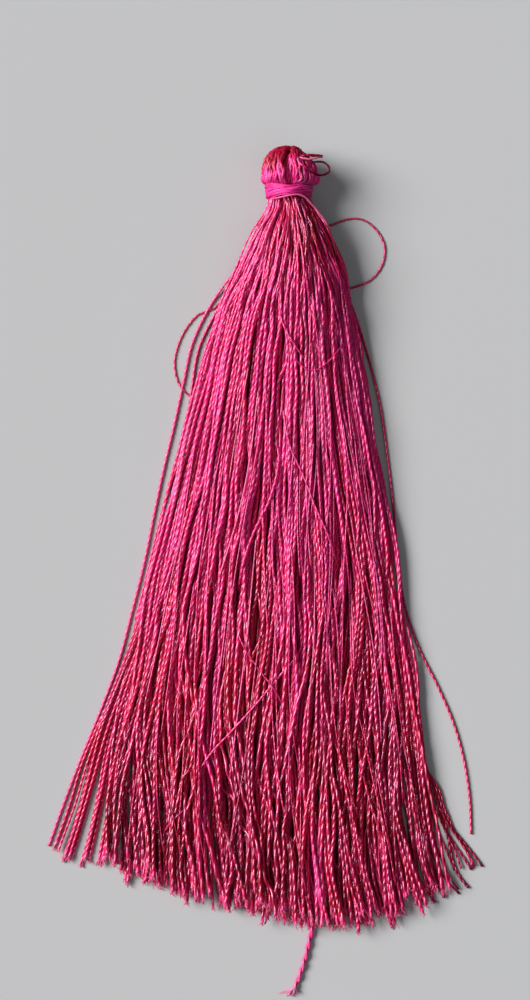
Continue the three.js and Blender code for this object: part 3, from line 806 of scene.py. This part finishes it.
def makeHead():
    strands = []
    for layer in head["layers"]:
        even = np.linspace(-head["reach"], head["reach"], layer["threads"])
        for place in np.radians(even + rng.normal(0, head["reachUneven"], layer["threads"])):
            left = place < 0
            size = layer["size"] * (1 + head["uneven"] * rng.uniform(-1, 1))
            lean = head["leftLean"] if left else head["rightLean"] * (1 - place / head["leanEnds"])
            path = smoothRoute(headRoute(place, lean, size), head["spacing"])
            arc = np.arange(len(path)) * head["spacing"]
            path[:, 0] += head["wavy"] * np.sin(arc * rng.uniform(*head["pace"]) + rng.uniform(0, anyPhase))
            path[:, 2] = np.maximum(path[:, 2], head["radius"])
            girth = (head["radius"] if left else head["rightRadius"]) * rng.uniform(*head["girth"])
            tint = headTint(path, left)
            turn = head["turn"] * rng.uniform(*head["turnSpread"])
            phase = rng.uniform(0, anyPhase)
            strands.append(sweep(path, girth, "twoPly", turn, phase, across=(1, 0, 0), tint=tint))
    buildPiece("head_threads", strands, headSilk)


makeHead()

# the binding: turns of soft floss round the neck, each a bundle of fine filaments, and an end that hangs out
neckRows = {"below": [-1.0, 1.0], "left": [-2.95, -2.6], "right": [2.1, 1.9], "low": [0.75, 0.85],
            "high": [5.35, 5.2]}
binding = {
    "filament": 0.075, "girth": (0.8, 1.2), "steps": 90, "filaments": 18, "lay": 5.5, "strayTurn": 0.2,
    "arch": 0.3, "dipNarrow": 8, "uneven": 0.085, "unevenOut": 0.6, "waves": (2, 7),
    "tint": 0.95, "tintSpread": 0.3, "tintUneven": 3, "tintWaves": (3, 9),
    # painted shade: the floss is made deeper towards its right end
    "rightPaintedShade": 0.65, "rightFrom": (-0.3, 0.7),
    "turns": [
        {"y": 0.42, "tilt": -0.06, "out": 0.05, "wide": 0.24, "thick": 0.2,
         "arched": 0.0, "dip": 0.3, "paler": -0.35},
        {"y": -0.06, "tilt": 0.1, "out": 0.1, "wide": 0.27, "thick": 0.24,
         "arched": 0.1, "dip": 0.1, "paler": 0.1},
        {"y": -0.54, "tilt": 0.04, "out": 0.08, "wide": 0.25, "thick": 0.2,
         "arched": 0.7, "dip": 0.0, "paler": -0.25},
        {"y": -0.12, "tilt": 0.4, "out": 0.15, "wide": 0.2, "thick": 0.18,
         "arched": 0.3, "dip": 0.1, "paler": 0.15},
    ],
}
# the hanging end of the floss, as x, below and z
flossEnd = {
    "points": [(-2.5, 1.0, 4.2), (-1.6, 0.95, 5.0), (-0.5, 0.78, 5.45), (0.6, 0.66, 5.5), (1.35, 0.85, 5.2),
               (2.24, 1.65, 4.6), (3.1, 2.6, 4.1), (3.95, 3.75, 3.7), (4.6, 5.0, 3.3)],
    "filaments": 4, "spacing": 0.3, "wide": 0.06, "lean": 0.6, "twist": 9, "taper": (0.9, 0.5), "tint": 1.4,
}


def neckPoint(angle, y, out):
    keys = ("left", "right", "low", "high")
    row = {key: np.interp(-y, neckRows["below"], neckRows[key]) for key in keys}
    middleX, middleZ = (row["left"] + row["right"]) / 2, (row["low"] + row["high"]) / 2
    x = middleX + ((row["right"] - row["left"]) / 2 + out) * np.cos(angle)
    z = middleZ + ((row["high"] - row["low"]) / 2 + out) * np.sin(angle)
    return np.stack([x, y, np.maximum(z, binding["filament"])], axis=-1)


def ringWave(angle, fewest, limit):
    # a whole number of waves round the neck, from a random start
    return np.sin(angle * rng.integers(fewest, limit) + rng.uniform(0, anyPhase))


def makeBinding():
    strands = []
    angle = np.linspace(0, 2 * math.pi, binding["steps"] + 1)
    front = np.maximum(0, np.sin(angle))
    for turn in binding["turns"]:
        for place in np.linspace(0, 2 * math.pi, binding["filaments"], endpoint=False):
            # filaments wind slowly round their bundle and stray a little
            spot = place + binding["lay"] * angle / (2 * math.pi) + rng.normal(0, binding["strayTurn"])
            y = turn["y"] + turn["wide"] * np.cos(spot) + turn["tilt"] * np.cos(angle)
            y += binding["arch"] * turn["arched"] * front - turn["dip"] * front ** binding["dipNarrow"]
            y += binding["uneven"] * ringWave(angle, *binding["waves"])
            out = turn["out"] + turn["thick"] * np.sin(spot)
            out += binding["unevenOut"] * binding["uneven"] * ringWave(angle, *binding["waves"])
            tint = rng.normal(binding["tint"] + turn["paler"], binding["tintSpread"])
            # painted shade on the right end of the binding
            tint = tint - binding["rightPaintedShade"] * ease(np.cos(angle), *binding["rightFrom"])
            tint = tint + binding["uneven"] * binding["tintUneven"] * ringWave(angle, *binding["tintWaves"])
            girth = binding["filament"] * rng.uniform(*binding["girth"])
            path = neckPoint(angle, y, out)
            strands.append(sweep(path, girth, "round", across=(0, 1, 0), tint=np.clip(tint, 0, 1)))
    path = smoothRoute([(x, -below, z) for x, below, z in flossEnd["points"]], flossEnd["spacing"])
    for place in np.linspace(0, 2 * math.pi, flossEnd["filaments"], endpoint=False):
        spot = place + np.linspace(0, flossEnd["twist"], len(path))
        shift = windRound(spot, flossEnd["wide"], flossEnd["lean"])
        girth = binding["filament"] * np.linspace(*flossEnd["taper"], len(path))
        strands.append(sweep(path + shift, girth, "round", tint=flossEnd["tint"]))
    piece = buildPiece("neck_floss", strands, floss)
    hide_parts("neck_binding")


makeBinding()

# the loop at the head: a thread folded back on itself, and a thinner one that goes round below it. Painted
# shade makes the loop's colours dark where it lies in shade, and the paler strand of the fold carries a
# painted highlight
loopThreads = [
    {"radius": 0.2, "tints": (-0.3, -0.4, -0.9), "points": [
        (0.8, 3.6, 4.6), (1.15, 3.82, 5.0), (1.8, 3.92, 5.05), (2.5, 3.92, 4.85), (3.1, 3.9, 4.65),
        (3.5, 3.86, 4.5)]},
    # painted highlight: this strand of the fold is tinted pale
    {"radius": 0.12, "tints": (1.5, 1.8, 0.6), "points": [
        (0.7, 3.75, 5.0), (1.15, 3.58, 5.3), (1.85, 3.45, 5.35), (2.5, 3.56, 5.1), (3.0, 3.7, 4.85),
        (3.45, 3.82, 4.6)]},
    {"radius": 0.14, "tints": (-1.0, -1.0, 1.6), "points": [
        (2.1, 3.2, 4.2), (2.9, 3.28, 4.3), (3.67, 3.22, 4.2), (4.2, 2.77, 4.2), (4.29, 2.23, 4.3),
        (3.85, 1.8, 4.55), (3.14, 1.64, 5.0), (2.24, 1.87, 5.65), (1.6, 2.35, 6.05), (1.17, 2.62, 6.1),
        (0.8, 2.9, 5.8)]},
]
loop = {"turn": 1.3, "spacing": 0.12, "tintsAt": (0.0, 0.65, 1.0), "across": (0.3, 0.1, 1)}


def makeLoop():
    strands = []
    for thread in loopThreads:
        path = smoothRoute(thread["points"], loop["spacing"])
        tint = np.interp(np.linspace(0, 1, len(path)), loop["tintsAt"], thread["tints"])
        strands.append(sweep(path, thread["radius"], "twoPly", loop["turn"], rng.uniform(0, anyPhase),
                             across=loop["across"], tint=tint))
    piece = buildPiece("head_loop", strands, loopShadedSilk)
    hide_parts("hanging_loop")


makeLoop()

# threads that have sprung out of the skirt, as x and the distance below the binding, all on the table
strayRoutes = {
    "rightLoop": {"radius": 0.13, "tint": 0.25, "points": [
        (3.0, 4.2), (5.0, 3.5), (6.5, 2.9), (8.2, 2.9), (9.8, 4.0), (10.9, 6.1), (10.6, 8.3), (9.3, 10.0),
        (7.0, 11.0), (5.0, 11.4)]},
    # painted shade: this thread's low tint darkens it where it lies in shade beside the skirt
    "leftLoop": {"radius": 0.12, "tint": 0.15, "points": [
        (-5.5, 9.0), (-7.8, 12.0), (-9.4, 13.5), (-11.0, 14.1), (-12.2, 15.4), (-13.3, 17.5), (-13.8, 19.8),
        (-13.3, 22.2), (-11.9, 23.8), (-10.4, 24.6)]},
    "leftLoose": {"radius": 0.17, "tint": 1.25, "points": [
        (-5.5, 7.6), (-9.3, 12.6), (-11.7, 17.5), (-12.8, 22.4), (-14.0, 27.8), (-15.1, 32.4), (-16.1, 37.1),
        (-17.3, 43.0), (-18.8, 49.0), (-20.4, 55.0), (-22.4, 60.4), (-24.8, 66.3), (-26.9, 71.8),
        (-28.6, 76.6)]},
    "leftLooser": {"radius": 0.16, "tint": 0.5, "points": [
        (-6.0, 9.0), (-8.9, 13.8), (-10.9, 18.0), (-11.8, 23.0), (-12.6, 29.0), (-14.9, 36.0), (-16.4, 42.0),
        (-17.6, 47.0), (-18.4, 50.0)]},
    "rightEdge": {"radius": 0.15, "tint": 0.25, "points": [
        (4.5, 7.5), (6.8, 12.4), (8.6, 17.8), (10.3, 24.3), (11.3, 31.2), (12.0, 37.1), (12.5, 42.9),
        (13.4, 48.7), (15.0, 53.4), (17.3, 58.1), (19.0, 62.1), (20.3, 66.8), (20.9, 70.9), (21.1, 75.2)]},
}
# single threads and thin filaments that lie across the top of the skirt
surfaceRoutes = [
    {"radius": 0.08, "tint": 0.9, "points": [
        (-0.8, 14.0), (-0.3, 17.6), (0.9, 20.2), (2.4, 20.9), (3.8, 20.2), (5.2, 18.7), (6.2, 17.2)]},
    {"radius": 0.12, "tint": 0.8, "points": [(-1.6, 11.0), (-1.2, 15.2), (0.5, 18.3), (2.3, 20.6)]},
    {"radius": 0.14, "tint": 0.75, "points": [
        (1.6, 50.5), (0.9, 53.4), (-1.6, 56.6), (-4.3, 59.8), (-7.0, 62.8), (-9.6, 65.6), (-11.4, 68.5)]},
    {"radius": 0.1, "tint": 0.8, "points": [
        (-6.6, 50.0), (-6.0, 52.2), (-4.2, 55.2), (-2.0, 58.1), (-0.8, 60.4)]},
    {"radius": 0.13, "tint": 1.1, "points": [
        (-1.0, 25.5), (-0.75, 27.5), (-0.3, 29.5), (1.3, 33.1), (2.6, 36.5), (4.4, 40.6), (5.4, 44.0)]},
    {"radius": 0.18, "tint": 0.9, "points": [
        (-1.4, 29.5), (-1.8, 33.0), (-2.6, 35.8), (-4.55, 39.9), (-5.7, 43.3), (-6.3, 46.5)]},
    {"radius": 0.09, "tint": 0.85, "points": [(-15.4, 75.6), (-14.6, 74.2), (-13.2, 72.6), (-11.9, 71.5)]},
]
# fine threads that lie loose on the pile, each a little across the run of the fan
flyaway = {
    "threads": 70, "from": (12.0, 68.0), "length": (12.0, 30.0), "lowest": 84.0, "hemGap": 2.0,
    "step": 1.5, "fewest": 3, "lean": 0.06, "curl": 0.05, "pace": (0.05, 0.15), "inside": 0.9,
    # painted shade: flyaways are made deeper towards the hem
    "radius": (0.06, 0.1), "tint": 1.0, "tintSpread": 0.3, "deeperFrom": (45, 95),
}
stray = {"spacing": 0.22, "turn": 1.7, "rootHigh": 0.35, "lift": 0.12, "tuck": 0.9}


def flyawayRun():
    # x and below along one fine thread
    start = rng.uniform(*flyaway["from"])
    end = min(start + rng.uniform(*flyaway["length"]), flyaway["lowest"])
    below = np.linspace(start, end, int((end - start) / flyaway["step"]) + flyaway["fewest"])
    row = skirtRow(below)
    along = below - start
    share = (1 + rng.uniform(-flyaway["inside"], flyaway["inside"])) / 2
    x = row["left"] + share * (row["right"] - row["left"]) + flyaway["lean"] * rng.normal() * along
    x += flyaway["curl"] * along * randomWave(along, *flyaway["pace"])
    x = np.clip(x, row["left"], row["right"])
    above = below < np.interp(x, hemLine["x"], hemLine["below"]) - flyaway["hemGap"]
    return list(zip(x[above], below[above]))


def strayStrand(path, radius, tint):
    return sweep(path, radius, "twoPly", stray["turn"], rng.uniform(0, anyPhase), tint=tint)


def makeStrays():
    strands = []
    for thread in strayRoutes.values():
        radius = thread["radius"]
        route = [(x, -below, radius) for x, below in thread["points"]]
        root = stray["rootHigh"] * topAt(*thread["points"][0])
        route[0] = (*route[0][:2], max(radius, root))
        strands.append(strayStrand(smoothRoute(route, stray["spacing"]), radius, thread["tint"]))
    for thread in surfaceRoutes:
        radius = thread["radius"]
        route = [(x, -below, topAt(x, below) + stray["lift"] + radius) for x, below in thread["points"]]
        for end in (0, -1):
            route[end] = (*route[end][:2], max(radius, route[end][2] - stray["tuck"]))
        strands.append(strayStrand(smoothRoute(route, stray["spacing"]), radius, thread["tint"]))
    for _ in range(flyaway["threads"]):
        girth = rng.uniform(*flyaway["radius"])
        route = [(x, -below, topAt(x, below) + stray["lift"] + girth) for x, below in flyawayRun()]
        heights = np.array([z for _, _, z in route])
        heights[1:-1] = (heights[:-2] + heights[1:-1] + heights[2:]) / 3
        heights[[0, -1]] = np.maximum(heights[[0, -1]] - stray["tuck"], girth)
        path = smoothRoute([(x, y, z) for (x, y, _), z in zip(route, heights)], stray["spacing"])
        tint = rng.normal(flyaway["tint"], flyaway["tintSpread"])
        # painted shade: deeper towards the hem
        tint = tint - dyeAndPaintedShading["hemPaintedShade"] * ease(-path[:, 1], *flyaway["deeperFrom"])
        strands.append(strayStrand(path, girth, tint))
    buildPiece("stray_threads", strands, silk)


makeStrays()

# the thread that was left long: two plies, then the fibres of its end
longThread = {
    "points": [(4.3, 78.0), (3.6, 81.5), (3.0, 84.3), (2.3, 86.8), (1.3, 90.7), (0.3, 93.3)],
    "radius": 0.17, "apart": 0.15, "lean": 0.2, "turn": 2.7, "tints": (1.1, 1.0, 1.4), "tintsAt": (0, 0.6, 1),
    "fibres": 34, "fibreRadius": 0.085, "fibreTaper": (1, 1, 0.5), "fibreTint": 1.8, "fibreStart": 0.5,
    "fibreLength": 1.4, "fibreShare": (0.5, 1), "fibreBend": 0.5,
    "fibreSpread": 0.4, "fibreFan": (1, 0.3, 0.4),
}


def makeLongThread():
    strands = []
    high = longThread["radius"] + longThread["apart"]
    path = smoothRoute([(x, -below, high) for x, below in longThread["points"]], stray["spacing"])
    arc = np.arange(len(path)) * stray["spacing"]
    tint = np.interp(arc / arc[-1], longThread["tintsAt"], longThread["tints"])
    for half in (0, math.pi):
        spin = half - 2 * math.pi * arc / longThread["turn"]
        shift = windRound(spin, longThread["apart"], longThread["lean"])
        strands.append(sweep(path + shift, longThread["radius"], "round", tint=tint))
    run = (path[-1] - path[-4]) / np.linalg.norm(path[-1] - path[-4])
    girth = longThread["fibreRadius"] * np.array(longThread["fibreTaper"])
    for _ in range(longThread["fibres"]):
        start = path[-3] + rng.normal(0, longThread["fibreStart"], 3) * longThread["radius"]
        out = run + longThread["fibreSpread"] * rng.normal(0, 1, 3) * np.array(longThread["fibreFan"])
        reach = longThread["fibreLength"] * rng.uniform(*longThread["fibreShare"])
        fibre = np.array([start, start + longThread["fibreBend"] * reach * run, start + reach * out])
        strands.append(sweep(fibre, girth, "hair", tint=longThread["fibreTint"]))
    buildPiece("long_thread", strands, silk)


makeLongThread()

# fibres that fan out of each cut end
fray = {
    "fibres": 7, "longest": 0.85, "share": (0.3, 1), "radius": 0.08, "taper": (1, 1, 0.4), "tint": 2.0,
    "spread": 0.32, "fan": (1, 0.4, 0.5), "inside": 0.15, "uneven": 0.08, "bend": 0.08,
    "middle": 0.5, "middleBend": 0.4,
}


def makeFray():
    strands = []
    girth = fray["radius"] * np.array(fray["taper"])
    for end in skirtEnds:
        run = end["run"] / np.linalg.norm(end["run"])
        for _ in range(fray["fibres"]):
            out = run + rng.normal(0, fray["spread"], 3) * np.array(fray["fan"])
            size = fray["longest"] * rng.uniform(*fray["share"])
            start = end["tip"] - fray["inside"] * run + rng.normal(0, fray["uneven"], 3)
            bend = rng.normal(0, fray["bend"], 3)
            middle = start + fray["middle"] * size * run + fray["middleBend"] * bend
            path = np.array([start, middle, start + size * out + bend])
            path[:, 2] = np.maximum(path[:, 2], fray["radius"])
            strands.append(sweep(path, girth, "hair", tint=fray["tint"]))
    buildPiece("hem_fray", strands, frayedSilk)


makeFray()

# camera straight above, the frame as high as the photograph's
view = {"high": 116.6, "x": -3.15, "y": -35.9, "focusZ": 2.5, "lens": 85.0, "sensor": 36.0, "clipStart": 0.01}
bpy.ops.object.select_all(action="DESELECT")
eye = toFrame([[view["x"], view["y"], 0]])[0]
distance = view["high"] / 2 * view["lens"] / (view["sensor"] / 2) * mm
bpy.ops.object.camera_add(location=(eye[0], eye[1], distance + view["focusZ"] * mm), rotation=(0, 0, 0))
camera = bpy.context.object
camera.name = "photoCamera"
camera.data.lens = view["lens"]
camera.data.sensor_width = view["sensor"]
camera.data.clip_start = view["clipStart"]
bpy.context.scene.camera = camera

# pale table and soft studio light
tableTop = {"size": 12.0, "colour": (0.4, 0.405, 0.41), "rough": 0.7}
bpy.ops.mesh.primitive_plane_add(size=tableTop["size"], location=(0, 0, 0))
table = bpy.context.object
table.name = "paleTable"
tableMaterial = bpy.data.materials.new("paleTableTop")
tableMaterial.use_nodes = True
tableShader = tableMaterial.node_tree.nodes["Principled BSDF"]
tableShader.inputs["Base Color"].default_value = (*tableTop["colour"], 1)
tableShader.inputs["Roughness"].default_value = tableTop["rough"]
table.data.materials.append(tableMaterial)
table.visible_glossy = False

lights = {
    "keyLight": {"at": (-0.165, 0.044, 0.124), "soft": 34, "power": 5.9, "colour": (1.0, 0.98, 0.98),
                 "mirrored": True},
    "fillLight": {"at": (0.3, -0.2, 0.42), "soft": 70, "power": 0.4, "colour": (0.94, 0.97, 1.0),
                  "mirrored": False},
}
for name, light in lights.items():
    bpy.ops.object.light_add(type="SUN", location=light["at"])
    lamp = bpy.context.object
    lamp.name = name
    lamp.data.angle = math.radians(light["soft"])
    lamp.data.energy = light["power"]
    lamp.data.color = light["colour"]
    lamp.visible_glossy = light["mirrored"]
    lamp.rotation_euler = (-lamp.location).to_track_quat("-Z", "Y").to_euler()

room = {"colour": (0.9, 0.95, 1.0), "strength": 0.14}
world = bpy.data.worlds.new("softRoom")
bpy.context.scene.world = world
world.use_nodes = True
background = world.node_tree.nodes["Background"]
background.inputs["Color"].default_value = (*room["colour"], 1)
background.inputs["Strength"].default_value = room["strength"]
world.cycles_visibility.glossy = False
bpy.context.scene.view_settings.view_transform = "Standard"
print("stage set")
